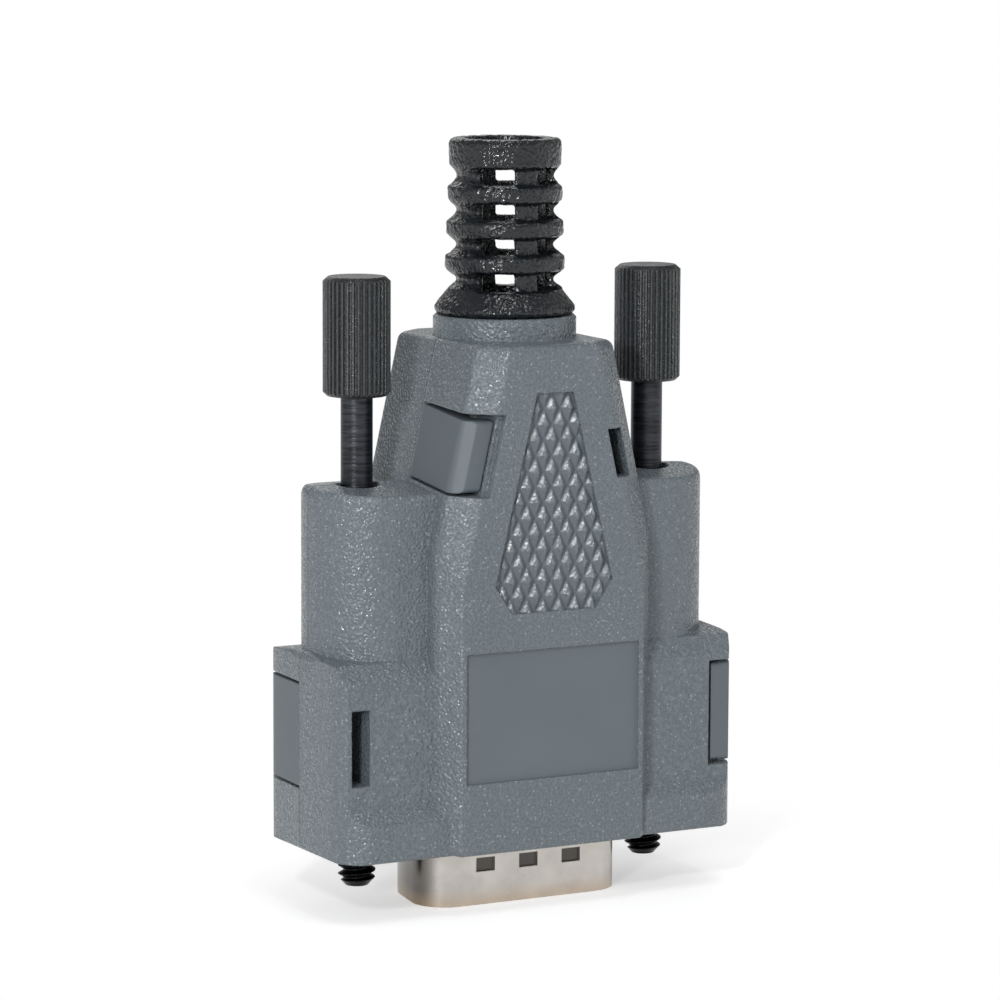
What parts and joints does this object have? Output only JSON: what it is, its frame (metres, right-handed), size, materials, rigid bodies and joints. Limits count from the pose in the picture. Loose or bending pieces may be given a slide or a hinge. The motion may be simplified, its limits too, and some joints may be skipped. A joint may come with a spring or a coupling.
{
  "type": "d-sub hood",
  "caption": "Snap-together plastic hood on a small D-shaped plug connector, with a slotted strain-relief boot for the cable and long captive knurled jackscrews.",
  "frame": {"origin": "centre of the plug shell's rim, the lowest plane of the part", "axes": "+Z towards the cable exit, X along the rows of contacts and the jackscrew pitch, -Y out of the labelled front face"},
  "size_m": [0.0346, 0.016, 0.0576],
  "materials": {
    "hood_plastic": "moulded, fine spark-eroded texture",
    "knob_plastic": "moulded, straight knurl",
    "boot_rubber": "moulded, coarse grain",
    "nickel_steel": "nickel plated",
    "insulator_plastic": "moulded, smooth",
    "jackscrew_steel": "black coated, drawn",
    "spring_steel": "bright",
    "contact_gold": "gold plated"
  },
  "bodies": {
    "hood": {"front_shell": "hood_plastic", "rear_shell": "hood_plastic", "strain_relief_boot": "boot_rubber", "plug_front_shell": "nickel_steel", "plug_rear_shell": "nickel_steel", "front_insulator": "insulator_plastic", "rear_insulator": "insulator_plastic", "cable_clamp_front": "nickel_steel", "cable_clamp_rear": "nickel_steel", "clamp_screws": "nickel_steel", "contact_1": "contact_gold", "contact_2": "contact_gold", "contact_3": "contact_gold", "contact_4": "contact_gold", "contact_5": "contact_gold", "contact_6": "contact_gold", "contact_7": "contact_gold", "contact_8": "contact_gold", "contact_9": "contact_gold"},
    "left_ring": {"left_retaining_ring": "spring_steel"},
    "left_jackscrew": {"left_jackscrew_rod": "jackscrew_steel", "left_knob": "knob_plastic"},
    "right_ring": {"right_retaining_ring": "spring_steel"},
    "right_jackscrew": {"right_jackscrew_rod": "jackscrew_steel", "right_knob": "knob_plastic"}
  },
  "joints": [
    {"name": "left_jackscrew_slide", "type": "slide", "parent": "hood", "child": "left_ring", "axis": [0, 0, 1], "range_m": [-0.0065, 0.0005]},
    {"name": "right_jackscrew_slide", "type": "slide", "parent": "hood", "child": "right_ring", "axis": [0, 0, 1], "range_m": [-0.0065, 0.0005]},
    {"name": "left_jackscrew_turn", "type": "hinge", "parent": "left_ring", "child": "left_jackscrew", "pos_m": [-0.01249, 0, 0.04], "axis": [0, 0, 1], "continuous": true},
    {"name": "right_jackscrew_turn", "type": "hinge", "parent": "right_ring", "child": "right_jackscrew", "pos_m": [0.01249, 0, 0.04], "axis": [0, 0, 1], "continuous": true}
  ]
}
